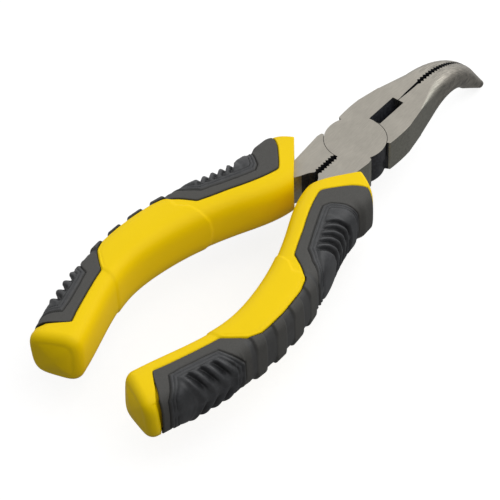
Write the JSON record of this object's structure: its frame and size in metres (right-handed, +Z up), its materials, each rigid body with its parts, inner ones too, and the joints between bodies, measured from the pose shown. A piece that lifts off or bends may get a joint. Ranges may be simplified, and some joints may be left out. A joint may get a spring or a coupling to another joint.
{
  "type": "bent nose pliers",
  "caption": "Bent-nose gripping pliers with a lap joint, a wire cutter behind the serrated nose, and two-tone moulded handles that bow round a finger gap.",
  "frame": {"origin": "on the pivot's axis, in the flat underside of the head", "axes": "+X from the pivot to the nose, +Y to the tool's left, +Z up through the marked face of the head; the nose bends down, towards -Z"},
  "size_m": [0.1584, 0.0526, 0.0237],
  "materials": {
    "lever_steel": "drop-forged, ground on the flat faces, black oxide left in the recesses",
    "rivet_steel": "ground flush with the head",
    "sleeve_plastic": "moulded yellow polypropylene, satin",
    "grip_rubber": "overmoulded dark grey thermoplastic rubber, matt"
  },
  "bodies": {
    "upper_half": {"upper_lever": "lever_steel", "right_sleeve": "sleeve_plastic", "right_grip": "grip_rubber"},
    "lower_half": {"lower_lever": "lever_steel", "pivot_rivet": "rivet_steel", "left_sleeve": "sleeve_plastic", "left_grip": "grip_rubber"}
  },
  "joints": [
    {"name": "pivot", "type": "hinge", "parent": "upper_half", "child": "lower_half", "pos_m": [0, 0, 0.0045], "axis": [0, 0, -1], "range_deg": [0, 45]}
  ]
}
